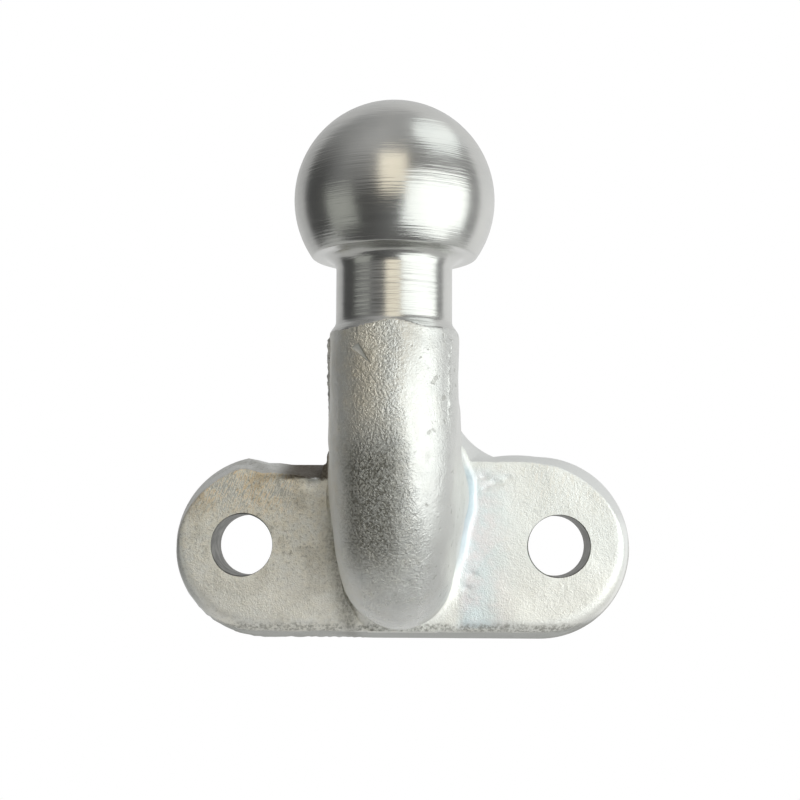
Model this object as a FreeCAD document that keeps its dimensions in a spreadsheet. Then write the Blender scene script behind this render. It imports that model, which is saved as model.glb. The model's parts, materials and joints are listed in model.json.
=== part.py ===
import FreeCAD, Part

import math
import os

import Sketcher
from FreeCAD import Placement, Rotation, Vector

# A two-hole flange tow ball: one steel forging whose ball and neck are turned.
# Frame: the origin is midway between the bolt holes on the flange's mounting face,
# +Z is up, +X runs along the bolt holes and the ball reaches out towards -Y.

SIZES = [
    ("ball_diameter", 50, "coupling ball"),
    ("ball_reach", 70.8, "mounting face to ball centre"),
    ("ball_height", 86, "bolt line up to ball centre"),
    ("underside_drop", 14.4, "ball centre down to the ball's flat underside"),
    ("underside_edge", 0.8, "rounding of the underside's rim"),
    ("neck_diameter", 28.8, "turned neck"),
    ("neck_blend", 3.4, "radius between the neck and the ball's underside"),
    ("neck_drop", 30.6, "ball centre down to the foot of the turned neck"),
    ("runout_radius", 2.5, "hollow that the turning tool leaves at the neck's foot"),
    ("runout_slope", 35, "slope at which the tool runs out, degrees from the neck"),
    ("shoulder_step", 1.5, "how far the forged bar stands out from the neck"),
    ("shoulder_round", 5, "rounding of the forged bar's shoulder"),
    ("bar_flat", 1.2, "straight flank between the bar's two half rounds"),
    ("throat_radius", 19, "hollow inside of the elbow"),
    ("flash_height", 0.6, "trimmed forging flash, how far it stands out of the bar's flanks"),
    ("flash_width", 2.4, "width of the flash"),
    ("flash_start", 3, "where round the elbow the flash starts, degrees"),
    ("flash_end", 48, "where round the elbow it has run into the growing arm, degrees"),
    ("root_top_radius", 20, "upper round of the arm where it meets the flange"),
    ("root_low_radius", 14.5, "lower round of the arm where it meets the flange"),
    ("root_flank", 23.5, "distance between the centres of those two rounds"),
    ("root_inset", 2.4, "arm's lowest line above the flange's lower edge"),
    ("root_fillet", 3.8, "fillet between the arm and the flange's front face"),
    ("flange_thickness", 18, "flange, mounting face to front face"),
    ("flange_length", 134.2, "flange over its two round ends, at the mounting face"),
    ("flange_height", 53.4, "flange between its straight edges, at the mounting face"),
    ("flange_drop", 0.5, "middle of the flange below the bolt line"),
    ("flange_draft", 10.6, "slope of the forged walls, degrees"),
    ("rim_round", 4, "rounding of the front rim where it starts beside the arm"),
    ("rim_ground", 0.4, "rounding that is left at the far end of the upper rim"),
    ("tongue_width", 36, "tongue that carries the arm above the flange"),
    ("tongue_rise", 13, "tongue above the flange's upper edge"),
    ("tongue_corner", 8, "upper corners of the tongue"),
    ("flare_radius", 21, "hollow corner between the tongue and the flange"),
    ("flare_foot", 54.6, "width across the hollow corners at the flange's upper edge"),
    ("nick_depth", 1.9, "how far the left upper edge is trimmed down"),
    ("nick_start", 43, "trimmed stretch, outer end from the middle"),
    ("nick_ramp", 4.5, "length of the ramp at that end"),
    ("nick_end", 22.6, "trimmed stretch, inner end from the middle"),
    ("bolt_spacing", 90, "between the two bolt holes"),
    ("bolt_hole", 17.5, "clearance hole for an M16 bolt"),
    ("hole_break", 0.2, "broken edge of the bolt holes"),
]

# Stations round the elbow: name, tilt of the section in degrees (0 level at the neck,
# 90 upright behind the flange), and the share of the growth from the bar to the root
# that has happened there, first of the two rounds and then of the flank between them.
STATIONS = [
    ("neck_section", 0, 0.0, 0.0),
    ("upper_elbow", 30, 0.10, 0.27),
    ("lower_elbow", 60, 0.36, 0.75),
    ("heel", 90, 0.70, 0.90),
]

# Levels and radii that several features share, as expressions on the sheet.
BAR_RADIUS = "(Sizes.neck_diameter / 2 + Sizes.shoulder_step)"
UPPER_EDGE = "(Sizes.flange_height / 2 - Sizes.flange_drop)"
LOWER_EDGE = "(-Sizes.flange_height / 2 - Sizes.flange_drop)"
TONGUE_TOP_SPAN = "(Sizes.flange_height + Sizes.tongue_rise)"
ROOT_HEIGHT = "(Sizes.root_low_radius + Sizes.root_flank + Sizes.root_top_radius)"
PIVOT_Y = f"-(Sizes.ball_reach - Sizes.bar_flat - {BAR_RADIUS} - Sizes.throat_radius)"
PIVOT_Z = f"({LOWER_EDGE} + Sizes.root_inset + {ROOT_HEIGHT} + Sizes.throat_radius)"
TRIM_DEPTH = "Sizes.flange_thickness + Sizes.root_fillet"

NORMAL = Vector(0, 0, 1)
NEAR = 1e-3


def make_sheet():
    """Spreadsheet of driving sizes: name, value and meaning in each row."""
    sheet = doc.addObject("Spreadsheet::Sheet", "Sizes")
    for row, (alias, value, meaning) in enumerate(SIZES, start=1):
        sheet.set(f"A{row}", alias)
        sheet.set(f"B{row}", str(value))
        sheet.set(f"C{row}", meaning)
        sheet.setAlias(f"B{row}", alias)
    doc.recompute()
    return sheet


def size(alias):
    """Present value of a driving size."""
    return float(sheet.get(alias))


def new_sketch(name, role, base=(None, None, None), tilt=0):
    """Sketch on the body's origin plane of that role, moved by expressions along the
    plane's own axes and tilted in degrees about its first axis."""
    sketch = body.newObject("Sketcher::SketchObject", name)
    planes = {feature.Role: feature for feature in body.Origin.OriginFeatures}
    sketch.AttachmentSupport = (planes[role], [""])
    sketch.MapMode = "FlatFace"
    sketch.AttachmentOffset = Placement(Vector(), Rotation(Vector(1, 0, 0), tilt))
    for axis, expression in zip("xyz", base):
        if expression:
            sketch.setExpression(f"AttachmentOffset.Base.{axis}", expression)
    return sketch


def constrain(sketch, *constraints):
    """Add geometric constraints, each given as its kind and its elements."""
    for constraint in constraints:
        sketch.addConstraint(Sketcher.Constraint(*constraint))


def dimension(sketch, name, expression, *constraint):
    """Named dimension of a sketch, bound to an expression on the sheet."""
    index = sketch.addConstraint(Sketcher.Constraint(*constraint))
    sketch.renameConstraint(index, name)
    sketch.setExpression(f"Constraints.{name}", expression)


def add_polygon(sketch, points):
    """Closed chain of lines through rough points; returns the lines' numbers."""
    first = sketch.GeometryCount
    corners = [Vector(x, y, 0) for x, y in points]
    count = len(corners)
    for i in range(count):
        sketch.addGeometry(Part.LineSegment(corners[i], corners[(i + 1) % count]))
    lines = [first + i for i in range(count)]
    for i in range(count):
        constrain(sketch, ("Coincident", lines[i], 2, lines[(i + 1) % count], 1))
    return lines


def add_frame(sketch, width, height):
    """Rectangle round the sketch's origin, of the width and height expressions."""
    lines = add_polygon(sketch, [(-100, -80), (100, -80), (100, 80), (-100, 80)])
    lower, right, upper, left = lines
    constrain(sketch, ("Horizontal", lower), ("Horizontal", upper),
              ("Vertical", right), ("Vertical", left),
              ("Symmetric", lower, 1, right, 2, -1, 1))
    dimension(sketch, "frame_width", width, "DistanceX", lower, 1, lower, 2, 200)
    dimension(sketch, "frame_height", height, "DistanceY", right, 1, right, 2, 160)


def add_feature(kind, name, bound=None, **properties):
    """Feature at the tip of the body: plain properties, then bound ones."""
    feature = body.newObject(kind, name)
    for key, value in properties.items():
        setattr(feature, key, value)
    for key, expression in (bound or {}).items():
        feature.setExpression(key, expression)
    doc.recompute()
    return feature


def add_cut(kind, name, bound=None, **properties):
    """Feature that has to take material away."""
    before = body.Shape.Volume
    feature = add_feature(kind, name, bound, **properties)
    if body.Shape.Volume > before - 1:
        raise RuntimeError(f"{name} cuts nothing")
    return feature


def edges_where(shape, test):
    """Names of the edges for which the test holds, poles left out."""
    return [f"Edge{i}" for i, edge in enumerate(shape.Edges, start=1)
            if not edge.Degenerated and test(edge)]


def lies_at(edge, axis, level):
    """True if both ends and the middle of an edge lie on one level of an axis."""
    middle = edge.valueAt((edge.FirstParameter + edge.LastParameter) / 2)
    points = [vertex.Point for vertex in edge.Vertexes] + [middle]
    return all(abs(getattr(point, axis) - level) < NEAR for point in points)


def is_circle(edge, radius):
    """True if an edge is part of a circle of that radius."""
    return hasattr(edge.Curve, "Radius") and abs(edge.Curve.Radius - radius) < NEAR


def add_blank():
    """Plate of the flange's thickness, larger than the outline trimmed from it."""
    sketch = new_sketch("blank_outline", "XZ_Plane")
    add_frame(sketch, "1.5 * Sizes.flange_length", f"2 * {TONGUE_TOP_SPAN}")
    add_feature("PartDesign::Pad", "blank", {"Length": "Sizes.flange_thickness"},
                Profile=sketch)


def egg_section(name, base, tilt, top_radius, low_radius, flank):
    """Egg-shaped section: an inner round, an outer round and two tangent flanks. The
    inner round's crown lies one throat radius from the sketch's origin."""
    sketch = new_sketch(name, "XY_Plane", base, tilt)
    inner, outer = Vector(0, -36, 0), Vector(0, -44, 0)
    sketch.addGeometry([
        Part.ArcOfCircle(Part.Circle(outer, NORMAL, 16), -3.1, -0.04),
        Part.LineSegment(Vector(16, -44, 0), Vector(16.2, -36, 0)),
        Part.ArcOfCircle(Part.Circle(inner, NORMAL, 16.2), 0.0, 3.14),
        Part.LineSegment(Vector(-16.2, -36, 0), Vector(-16, -44, 0)),
    ])
    constrain(sketch, ("Tangent", 0, 2, 1, 1), ("Tangent", 1, 2, 2, 1),
              ("Tangent", 2, 2, 3, 1), ("Tangent", 3, 2, 0, 1),
              ("PointOnObject", 0, 3, -2), ("PointOnObject", 2, 3, -2))
    dimension(sketch, "low_radius", low_radius, "Radius", 0, 16)
    dimension(sketch, "top_radius", top_radius, "Radius", 2, 16.2)
    dimension(sketch, "top_centre", f"Sizes.throat_radius + {top_radius}",
              "DistanceY", 2, 3, -1, 1, 36)
    dimension(sketch, "flank", flank, "DistanceY", 0, 3, 2, 3, 8)
    return sketch


def add_arm():
    """Loft from the round bar under the ball, round the elbow, to the egg-shaped root.
    The elbow's stations fan out from a line above the flange and behind the neck."""
    bar_top_z = "Sizes.ball_height - Sizes.underside_drop"
    root_y = "-Sizes.flange_thickness / 2"

    def grown(start, end, share):
        return f"({start} + ({end} - {start}) * {share})"

    def station(name, y, z, tilt, rounds, flank):
        return egg_section(name, (None, y, z), tilt,
                           grown(BAR_RADIUS, "Sizes.root_top_radius", rounds),
                           grown(BAR_RADIUS, "Sizes.root_low_radius", rounds),
                           grown("Sizes.bar_flat", "Sizes.root_flank", flank))

    bar_middle_z = f"({bar_top_z} + {PIVOT_Z}) / 2"
    sections = [station("bar_top", PIVOT_Y, bar_top_z, 0, 0, 0),
                station("bar_middle", PIVOT_Y, bar_middle_z, 0, 0, 0)]
    for name, tilt, rounds, flank in STATIONS:
        sections.append(station(name, PIVOT_Y, PIVOT_Z, tilt, rounds, flank))
    sections.append(station("root", root_y, PIVOT_Z, 90, 1, 1))
    doc.recompute()
    add_feature("PartDesign::AdditiveLoft", "arm", Profile=sections[0], Sections=sections[1:])


def add_root_fillet():
    """Fillet all round the arm where it leaves the plate's front face."""
    arm = body.Tip
    front = -size("flange_thickness")
    plate = [face for face in arm.Shape.Faces
             if len(face.Wires) == 2 and lies_at(face.OuterWire.Edges[0], "y", front)]
    outer = plate[0].OuterWire.Edges
    names = edges_where(arm.Shape, lambda edge: lies_at(edge, "y", front)
                        and not any(edge.isSame(other) for other in outer))
    add_feature("PartDesign::Fillet", "root_fillet", {"Radius": "Sizes.root_fillet"},
                Base=(arm, names))


def draw_flange(sketch):
    """Outline of the flange at the mounting face: two round ends, straight edges and
    the tongue in the middle of the upper edge. The curves run round from 0, the lower
    edge: 1 right end, 2 right edge, 3 right flare, 4 right corner, 5 tongue top,
    6 left corner, 7 left flare, 8 left edge, 9 left end."""
    sketch.addGeometry([
        Part.LineSegment(Vector(-40, -27, 0), Vector(40, -27, 0)),
        Part.ArcOfCircle(Part.Circle(Vector(40, 0, 0), NORMAL, 27), -1.57, 1.57),
        Part.LineSegment(Vector(40, 27, 0), Vector(28, 27, 0)),
        Part.ArcOfCircle(Part.Circle(Vector(36, 45, 0), NORMAL, 21), 3.6, 4.2),
        Part.ArcOfCircle(Part.Circle(Vector(10, 31, 0), NORMAL, 8), 0.45, 1.57),
        Part.LineSegment(Vector(10, 39, 0), Vector(-10, 39, 0)),
        Part.ArcOfCircle(Part.Circle(Vector(-10, 31, 0), NORMAL, 8), 1.57, 2.7),
        Part.ArcOfCircle(Part.Circle(Vector(-36, 45, 0), NORMAL, 21), -1.05, -0.45),
        Part.LineSegment(Vector(-28, 27, 0), Vector(-40, 27, 0)),
        Part.ArcOfCircle(Part.Circle(Vector(-40, 0, 0), NORMAL, 27), 1.57, 4.71),
    ])
    constrain(sketch, ("Tangent", 0, 2, 1, 1), ("Tangent", 1, 2, 2, 1),
              ("Coincident", 2, 2, 3, 2), ("Tangent", 3, 1, 4, 1),
              ("Tangent", 4, 2, 5, 1), ("Tangent", 5, 2, 6, 1),
              ("Tangent", 6, 2, 7, 2), ("Coincident", 7, 1, 8, 1),
              ("Tangent", 8, 2, 9, 1), ("Tangent", 9, 2, 0, 1),
              ("Horizontal", 0), ("Horizontal", 2), ("Horizontal", 8),
              ("Symmetric", 1, 3, 9, 3, -2), ("Symmetric", 4, 3, 6, 3, -2),
              ("Equal", 4, 6), ("Equal", 3, 7))
    dimension(sketch, "end_radius", "Sizes.flange_height / 2", "Radius", 1, 27)
    dimension(sketch, "ends", "Sizes.flange_length - Sizes.flange_height",
              "DistanceX", 9, 3, 1, 3, 80)
    dimension(sketch, "drop", "Sizes.flange_drop", "DistanceY", 1, 3, -1, 1, 0.5)
    dimension(sketch, "corner", "Sizes.tongue_corner", "Radius", 4, 8)
    dimension(sketch, "flare", "Sizes.flare_radius", "Radius", 3, 21)
    dimension(sketch, "tongue", "Sizes.tongue_width - 2 * Sizes.tongue_corner",
              "DistanceX", 6, 3, 4, 3, 20)
    dimension(sketch, "rise", "Sizes.tongue_rise", "DistanceY", 1, 2, 4, 2, 13)
    dimension(sketch, "right_foot", "Sizes.flare_foot / 2", "DistanceX", -1, 1, 2, 2, 27)
    dimension(sketch, "left_foot", "Sizes.flare_foot / 2", "DistanceX", 8, 1, -1, 1, 27)


def add_trim():
    """Trim the plate to the flange's outline, with forging draft towards the front."""
    sketch = new_sketch("flange_outline", "XZ_Plane")
    draw_flange(sketch)
    add_frame(sketch, "2 * Sizes.flange_length", f"3 * {TONGUE_TOP_SPAN}")
    doc.recompute()
    add_cut("PartDesign::Pocket", "trim",
            {"Length": TRIM_DEPTH, "TaperAngle": "-Sizes.flange_draft"},
            Profile=sketch, Reversed=True)


def add_nick():
    """Stretch of the left upper edge that was trimmed lower than the rest."""
    sketch = new_sketch("nick_outline", "XZ_Plane")
    rough = [(-43, 28), (-38, 24), (-21, 24), (-17, 36), (-43, 36)]
    ramp, floor, inner, top, outer = add_polygon(sketch, rough)
    constrain(sketch, ("Horizontal", floor), ("Horizontal", top), ("Vertical", outer))
    dimension(sketch, "start", "Sizes.nick_start", "DistanceX", ramp, 1, -1, 1, 43)
    dimension(sketch, "ramp", "Sizes.nick_ramp", "DistanceX", ramp, 1, ramp, 2, 5)
    dimension(sketch, "ramp_top", f"{UPPER_EDGE} + Sizes.nick_depth / 2",
              "DistanceY", -1, 1, ramp, 1, 28)
    dimension(sketch, "floor", f"{UPPER_EDGE} - Sizes.nick_depth",
              "DistanceY", -1, 1, floor, 1, 24)
    dimension(sketch, "inner_low", "Sizes.nick_end", "DistanceX", inner, 1, -1, 1, 22)
    dimension(sketch, "inner_top", "Sizes.nick_end - Sizes.nick_ramp / 2",
              "DistanceX", inner, 2, -1, 1, 20)
    dimension(sketch, "top", f"{UPPER_EDGE} + Sizes.tongue_rise",
              "DistanceY", -1, 1, top, 1, 36)
    doc.recompute()
    add_cut("PartDesign::Pocket", "nick",
            {"Length": TRIM_DEPTH, "TaperAngle": "Sizes.flange_draft"},
            Profile=sketch, Reversed=True)


def ball_sketch(name):
    """Sketch in the upright middle plane, with the ball's centre as its origin."""
    return new_sketch(name, "YZ_Plane", ("-Sizes.ball_reach", "Sizes.ball_height", None))


def add_turned_neck():
    """Turn the bar down to the neck, with the tool's run-out at its foot."""
    sketch = ball_sketch("turning")
    sketch.addGeometry([
        Part.LineSegment(Vector(14.4, -10, 0), Vector(14.4, -31, 0)),
        Part.ArcOfCircle(Part.Circle(Vector(16.9, -31, 0), NORMAL, 2.5), 3.14, 3.75),
        Part.LineSegment(Vector(15, -32.4, 0), Vector(22, -42, 0)),
        Part.LineSegment(Vector(22, -42, 0), Vector(22, -10, 0)),
        Part.LineSegment(Vector(22, -10, 0), Vector(14.4, -10, 0)),
    ])
    neck, hollow, slope, outer, top = range(5)
    constrain(sketch, ("Tangent", neck, 2, hollow, 1), ("Tangent", hollow, 2, slope, 1),
              ("Coincident", slope, 2, outer, 1), ("Coincident", outer, 2, top, 1),
              ("Coincident", top, 2, neck, 1),
              ("Vertical", neck), ("Vertical", outer), ("Horizontal", top))
    dimension(sketch, "neck", "Sizes.neck_diameter / 2", "DistanceX", -1, 1, neck, 1, 14.4)
    dimension(sketch, "foot", "Sizes.neck_drop", "DistanceY", neck, 2, -1, 1, 31)
    dimension(sketch, "hollow", "Sizes.runout_radius", "Radius", hollow, 2.5)
    dimension(sketch, "slope", "Sizes.runout_slope - 90", "Angle", slope, math.radians(-55))
    dimension(sketch, "outer", f"{BAR_RADIUS} + Sizes.bar_flat + Sizes.shoulder_step",
              "DistanceX", -1, 1, outer, 1, 22)
    dimension(sketch, "top", "Sizes.underside_drop", "DistanceY", neck, 1, -1, 1, 14.4)
    doc.recompute()
    add_cut("PartDesign::Groove", "turned_neck", Profile=sketch, Angle=360,
            ReferenceAxis=(sketch, ["V_Axis"]))


def add_shoulder_round():
    """Round the bar's shoulder, where the run-out leaves the forged surface. The bar's
    faces are the freeform ones of the loft and the run-out is a cone."""
    turned = body.Tip
    cones = [face for face in turned.Shape.Faces if isinstance(face.Surface, Part.Cone)
             and abs(face.Surface.Axis.z) > 1 - NEAR]
    rim = [edge for face in cones for edge in face.Edges
           if not hasattr(edge.Curve, "Radius") and edge.Length > NEAR]

    def on_shoulder(edge):
        seam = edge.Vertexes[0].Z - edge.Vertexes[-1].Z
        return abs(seam) < size("shoulder_step") and any(edge.isSame(other) for other in rim)

    add_feature("PartDesign::Fillet", "shoulder_round", {"Radius": "Sizes.shoulder_round"},
                Base=(turned, edges_where(turned.Shape, on_shoulder)))


def add_flash():
    """Flash that trimming left on both flanks of the bar and the elbow, as one curved bar
    through the forging. It runs round the pivot line and out where the arm grows wider."""
    sketch = new_sketch("flash_line", "YZ_Plane", (PIVOT_Y, PIVOT_Z, None))
    sketch.addGeometry([
        Part.ArcOfCircle(Part.Circle(Vector(), NORMAL, 36.7), 3.2, 3.98),
        Part.LineSegment(Vector(-24.6, -27.3, 0), Vector(-22.9, -25.5, 0)),
        Part.ArcOfCircle(Part.Circle(Vector(), NORMAL, 34.3), 3.2, 3.98),
        Part.LineSegment(Vector(-36.6, -1.9, 0), Vector(-34.2, -1.8, 0)),
    ])
    outer, end, inner, start = range(4)
    constrain(sketch, ("Coincident", outer, 2, end, 1), ("Coincident", end, 2, inner, 2),
              ("Coincident", outer, 1, start, 1), ("Coincident", start, 2, inner, 1),
              ("Coincident", outer, 3, -1, 1), ("Coincident", inner, 3, -1, 1),
              ("PointOnObject", -1, 1, end), ("PointOnObject", -1, 1, start))
    middle = f"Sizes.throat_radius + {BAR_RADIUS} + Sizes.bar_flat / 2"
    dimension(sketch, "outer", f"{middle} + Sizes.flash_width / 2", "Radius", outer, 36.7)
    dimension(sketch, "inner", f"{middle} - Sizes.flash_width / 2", "Radius", inner, 34.3)
    dimension(sketch, "start", "Sizes.flash_start", "Angle", start, math.radians(3))
    dimension(sketch, "end", "Sizes.flash_end", "Angle", end, math.radians(48))
    doc.recompute()
    add_feature("PartDesign::Pad", "flash",
                {"Length": f"2 * ({BAR_RADIUS} + Sizes.flash_height)"},
                Profile=sketch, Midplane=True)


def add_ball():
    """Revolve the ball with its flat underside, then round both of its corners."""
    sketch = ball_sketch("ball_profile")
    sketch.addGeometry([
        Part.ArcOfCircle(Part.Circle(Vector(), NORMAL, 25), -0.6, 1.57),
        Part.LineSegment(Vector(20, -14, 0), Vector(0, -14, 0)),
        Part.LineSegment(Vector(0, -14, 0), Vector(0, 25, 0)),
    ])
    ball, underside, axis = range(3)
    constrain(sketch, ("Coincident", ball, 1, underside, 1),
              ("Coincident", underside, 2, axis, 1), ("Coincident", axis, 2, ball, 2),
              ("Coincident", ball, 3, -1, 1), ("Horizontal", underside),
              ("PointOnObject", underside, 2, -2), ("PointOnObject", axis, 2, -2))
    dimension(sketch, "radius", "Sizes.ball_diameter / 2", "Radius", ball, 25)
    dimension(sketch, "drop", "Sizes.underside_drop", "DistanceY", underside, 2, -1, 1, 14.4)
    doc.recompute()
    add_feature("PartDesign::Revolution", "ball", Profile=sketch, Angle=360,
                ReferenceAxis=(sketch, ["V_Axis"]))
    rim = math.sqrt((size("ball_diameter") / 2) ** 2 - size("underside_drop") ** 2)
    round_underside("neck_blend", size("neck_diameter") / 2)
    round_underside("underside_edge", rim)


def round_underside(alias, radius):
    """Fillet on the circle of that radius at the level of the ball's underside."""
    base = body.Tip
    level = size("ball_height") - size("underside_drop")
    names = edges_where(base.Shape, lambda edge: is_circle(edge, radius)
                        and lies_at(edge, "z", level))
    add_feature("PartDesign::Fillet", f"{alias}_fillet", {"Radius": f"Sizes.{alias}"},
                Base=(base, names))


def add_bolt_holes():
    """Two through holes with broken edges."""
    sketch = new_sketch("bolt_circles", "XZ_Plane")
    sketch.addGeometry([Part.Circle(Vector(-45, 0, 0), NORMAL, 9),
                        Part.Circle(Vector(45, 0, 0), NORMAL, 9)])
    constrain(sketch, ("PointOnObject", 0, 3, -1), ("Symmetric", 0, 3, 1, 3, -2),
              ("Equal", 0, 1))
    dimension(sketch, "hole", "Sizes.bolt_hole", "Diameter", 0, 18)
    dimension(sketch, "spacing", "Sizes.bolt_spacing", "DistanceX", 0, 3, 1, 3, 90)
    doc.recompute()
    holes = add_cut("PartDesign::Pocket", "bolt_holes", {"Length": "Sizes.flange_thickness"},
                    Profile=sketch, Reversed=True)
    radius = size("bolt_hole") / 2
    names = edges_where(holes.Shape, lambda edge: is_circle(edge, radius))
    add_feature("PartDesign::Chamfer", "hole_edges", {"Size": "Sizes.hole_break"},
                Base=(holes, names))


def add_rim():
    """Round the front rim, from full at the arm's foot, along the lower edge and round
    both ends, fading to nearly sharp along the upper edge."""
    rim = doc.addObject("Part::Fillet", "tow_ball")
    rim.Base = body
    front = -size("flange_thickness")
    draft = math.tan(math.radians(size("flange_draft")))
    end_radius = size("flange_height") / 2 + front * draft
    edges = []
    for number, edge in enumerate(body.Shape.Edges, start=1):
        if edge.Degenerated or not is_circle(edge, end_radius) or not lies_at(edge, "y", front):
            continue
        rising = edge.valueAt(edge.FirstParameter).z < edge.valueAt(edge.LastParameter).z
        low, high = size("rim_round"), size("rim_ground")
        edges.append((number, low, high) if rising else (number, high, low))
    rim.Edges = edges
    doc.recompute()
    return rim


def check_document():
    """Stop on any failed object and on a shape that is missing or invalid."""
    for item in doc.Objects:
        if "Invalid" in item.State or "Error" in item.State:
            raise RuntimeError(f"{item.Label} failed: {item.State}")
    if tow_ball.Shape.isNull() or not tow_ball.Shape.isValid():
        raise RuntimeError("tow_ball has no valid shape")
    if len(tow_ball.Shape.Solids) != 1:
        raise RuntimeError("tow_ball is not one solid")


doc = FreeCAD.newDocument("tow_ball")
sheet = make_sheet()
body = doc.addObject("PartDesign::Body", "forging")
add_blank()
add_arm()
add_root_fillet()
add_trim()
add_nick()
add_turned_neck()
add_shoulder_round()
add_flash()
add_ball()
add_bolt_holes()
tow_ball = add_rim()
check_document()
os.makedirs("parts", exist_ok=True)
tow_ball.Shape.exportStep(f"parts/{tow_ball.Label}.step")
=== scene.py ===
import json
import math

import bmesh
import bpy
import numpy as np
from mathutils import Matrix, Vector


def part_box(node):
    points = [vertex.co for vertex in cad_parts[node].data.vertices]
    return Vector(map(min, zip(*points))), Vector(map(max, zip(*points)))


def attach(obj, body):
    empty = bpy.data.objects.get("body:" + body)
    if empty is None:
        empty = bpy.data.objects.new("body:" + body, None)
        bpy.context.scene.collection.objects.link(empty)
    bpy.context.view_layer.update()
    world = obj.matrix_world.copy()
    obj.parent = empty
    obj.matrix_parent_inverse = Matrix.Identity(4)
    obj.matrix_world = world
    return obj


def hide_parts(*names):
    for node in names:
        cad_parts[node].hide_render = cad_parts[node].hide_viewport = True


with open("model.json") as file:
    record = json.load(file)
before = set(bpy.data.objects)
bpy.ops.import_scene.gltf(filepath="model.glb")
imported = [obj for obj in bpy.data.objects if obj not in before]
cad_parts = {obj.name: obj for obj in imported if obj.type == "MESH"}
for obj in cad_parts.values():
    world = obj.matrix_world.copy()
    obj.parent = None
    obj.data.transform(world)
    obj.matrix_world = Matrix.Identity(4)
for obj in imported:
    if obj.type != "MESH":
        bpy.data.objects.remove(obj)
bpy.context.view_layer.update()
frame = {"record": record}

# A flange tow ball: one zinc plated forging whose ball and neck are turned.
# Lengths here are millimetres in the part's own frame; meshes are scaled to metres.
MM = 0.001
FAR = 1e9
TINY = 1e-9
mounts = {mount["name"]: mount for mount in frame["record"]["mounts"]}
LOW, HIGH = (np.array(corner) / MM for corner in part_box("tow_ball"))

# The ball and the turned neck. The underside and the neck's end lie below the ball's centre,
# the neck's last ring lies a gap above the run-out, and the tool reaches below the pivot line.
BALL_Y, BALL_Z = np.array(mounts["coupling_ball"]["pos_m"])[1:] / MM
BALL_R = HIGH[2] - BALL_Z
UNDERSIDE = 14.4
UNDERSIDE_EDGE = 0.8
NECK_R = 14.4
NECK_BLEND = 3.4
NECK_DROP = 30.6
RUNOUT_R = 2.5
RUNOUT_SLOPE = math.radians(35)
RUNOUT_GAP = 2
TOOL_REACH = 12
SHOULDER_STEP = 1.5
SHOULDER_SOFT = 0.35

# The flange
THICK = 18
ROOT_FILLET = 3.8
DRAFT = math.tan(math.radians(10.6))
RIGHT_STEEPER = 0.26
END_R = 26.7
END_X = HIGH[0] - END_R
MID_Z = LOW[2] + END_R
UPPER = MID_Z + END_R
TONGUE_X, TONGUE_RISE, TONGUE_CORNER = 18, 13, 8
FLARE_R, FLARE_FOOT = 21, 27.3
RIM_ROUND, RIM_GROUND, RIM_LEAST = 4, 0.4, 0.05
FACE_LEAST = 0.2
BACK_BREAK = 0.3
CREASE = 0.5
TORN = 0.4
HOLE_R = mounts["flange_bolts"]["dims"]["hole_r_mm"]
HOLE_X = mounts["flange_bolts"]["dims"]["spacing_x_mm"] / 2
HOLE_BREAK = 0.2

# The cranked arm: egg sections that fan out from a pivot line behind the neck
THROAT = 19
BAR_R = NECK_R + SHOULDER_STEP
BAR_FLAT = 1.2
ROOT_TOP_R, ROOT_LOW_R, ROOT_FLANK = 20, 14.5, 23.5
ROOT_INSET = 2.4
ROOT_Y = -THICK / 2
PIVOT_Y = BALL_Y + BAR_FLAT + BAR_R + THROAT
PIVOT_Z = LOW[2] + ROOT_INSET + ROOT_LOW_R + ROOT_FLANK + ROOT_TOP_R + THROAT
ROOT_MIDDLE = PIVOT_Z - THROAT - ROOT_TOP_R - ROOT_FLANK / 2
# Stations of the arm: tilt of the section in degrees, shares of the growth from bar to root
# of its rounds and of the flank between them, and where between the rounds its middle is
STATIONS = [(0, 0, 0, 1), (30, 0.10, 0.27, 0.87), (60, 0.36, 0.75, 0.72),
            (90, 0.70, 0.90, 0.61), (90, 1, 1, 0.5)]

# Flash on the arm's flanks, by its distance from the pivot line
FLASH_LINE = THROAT + BAR_R + BAR_FLAT / 2
FLASH_WIDTH = 2.4
FLASH_X = BAR_R + 0.6
BEADS_AHEAD, BEADS_WIDTH = 7, 0.55

# Waves of the forged skin: length and height
ARM_LONG, ARM_LONG_HEIGHT = 17, 0.13
ARM_SHORT, ARM_SHORT_HEIGHT = 6, 0.035
ARM_LUMP, ARM_LUMP_HEIGHT = 2.2, 0.015
FLANGE_LONG, FLANGE_LONG_HEIGHT = 16, 0.06
FLANGE_SHORT, FLANGE_SHORT_HEIGHT = 8, 0.02

# Marks on the arm's front: how far its crown is flattened, the corners of the scraped
# triangle and its depth, and knocks by their place across and up, width and depth
CROWN_FLAT = 0.75
SCRAPE = np.array([[-10.1, 47.4], [-8, 48.6], [-4.7, 43.0]])
SCRAPE_DEPTH = 0.35
KNOCKS = [(2, 12, 0.8, 0.45), (9, 21, 0.7, 0.3), (4, -9, 0.8, 0.5), (0, -12, 0.7, 0.5)]
# Knocks in the flange's face, given in the same way
FACE_KNOCKS = [(24, 19.5, 0.9, 0.35), (27, 17.8, 1.1, 0.35), (30.5, 19, 0.9, 0.25),
               (24.5, 16.5, 0.8, 0.3), (-25.5, 18, 1.8, 0.8), (-30, 19.5, 1.2, 0.3),
               (20.5, -8, 0.9, 0.3), (19, -12, 0.8, 0.3)]

# Direction round every ring of the surface: 0 in front and below, 90 degrees to the right.
# The directions lie closer together at the sides, where the flange reaches furthest.
COLUMNS = 320
THETA = np.linspace(0, 2 * math.pi, COLUMNS, endpoint=False)[None, :]
THETA = THETA + 0.15 * np.sin(2 * THETA)
DEGREES = np.degrees(THETA)
RIGHTWARD = np.sin(THETA)

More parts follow.
